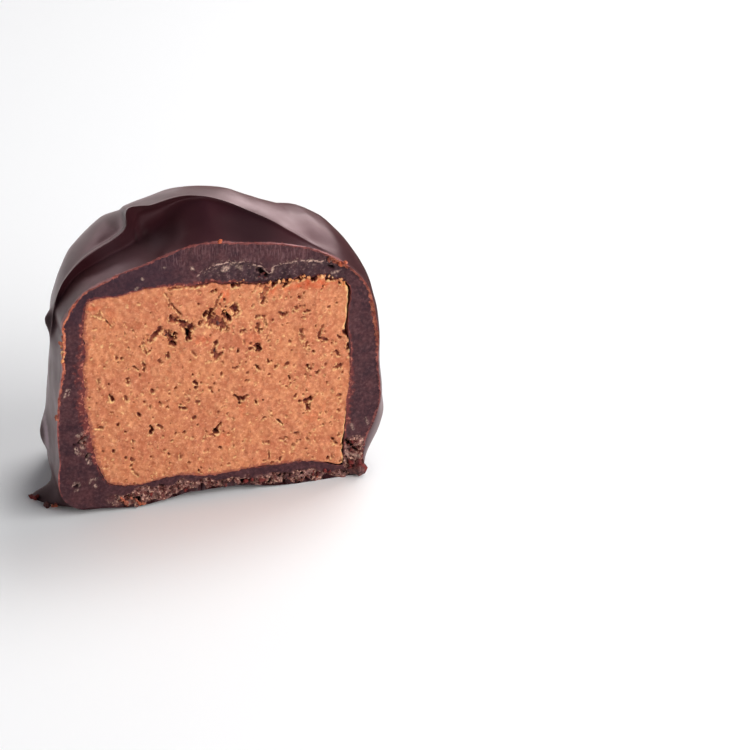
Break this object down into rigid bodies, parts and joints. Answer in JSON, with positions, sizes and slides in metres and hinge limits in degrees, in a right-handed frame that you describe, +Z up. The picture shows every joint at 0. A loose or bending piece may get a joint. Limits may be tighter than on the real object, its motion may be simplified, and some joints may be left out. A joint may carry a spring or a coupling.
{
  "type": "chocolate buttercream candy",
  "caption": "Cut half of a dipped dark chocolate candy: a thick coat with a folded top round a block of tan buttercream that shows at the flat cut.",
  "frame": {"origin": "on the base, under the middle of the whole piece's box", "axes": "+Z up, -Y out of the cut face, +X to the right along the cut face as it is looked at"},
  "size_m": [0.0318, 0.0146, 0.0272],
  "materials": {
    "dark_chocolate": "satin set chocolate outside, dull fine-grained chocolate where cut",
    "buttercream": "matt, dense tan cream with fine pores and a few torn holes"
  },
  "bodies": {
    "root": {"dark_chocolate_coat": "dark_chocolate", "buttercream_centre": "buttercream"}
  },
  "joints": []
}
